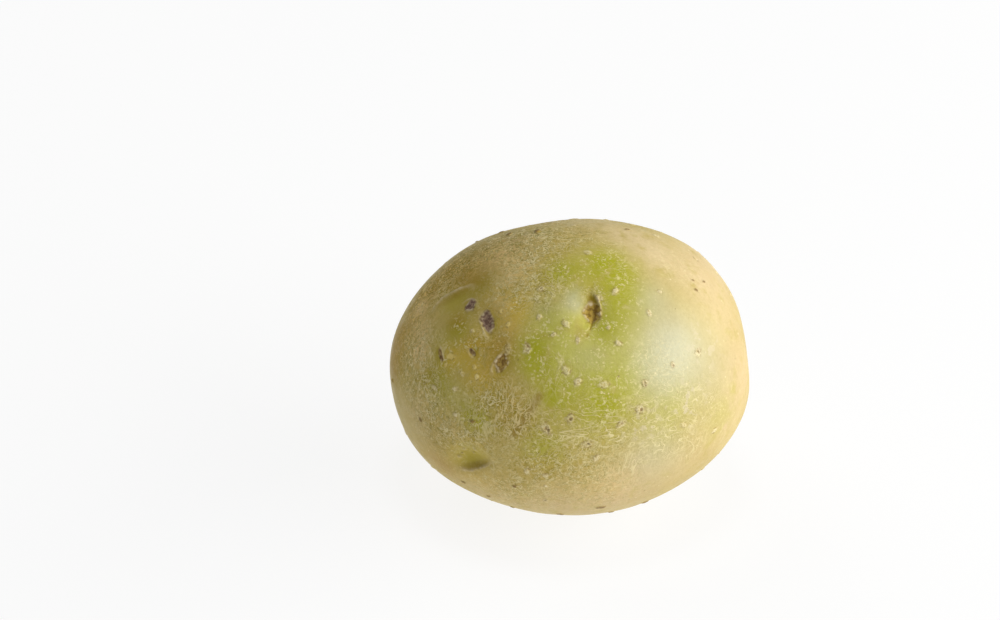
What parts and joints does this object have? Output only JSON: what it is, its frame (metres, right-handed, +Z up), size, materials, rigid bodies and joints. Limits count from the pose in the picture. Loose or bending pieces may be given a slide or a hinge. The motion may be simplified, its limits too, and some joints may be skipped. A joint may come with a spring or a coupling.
{
  "type": "potato",
  "caption": "Whole raw potato, a rounded oval tuber with greenish buff skin, shallow eyes and corky spots, lying on a small flat spot",
  "frame": {"origin": "On the surface that the potato rests on, under the middle of its bounding box", "axes": "+X along the tuber from its bud end to its stem end, +Y to its far side, +Z up"},
  "size_m": [0.0786, 0.0686, 0.0639],
  "materials": {
    "skin": null
  },
  "bodies": {
    "root": {"potato_tuber": "skin"}
  },
  "joints": []
}
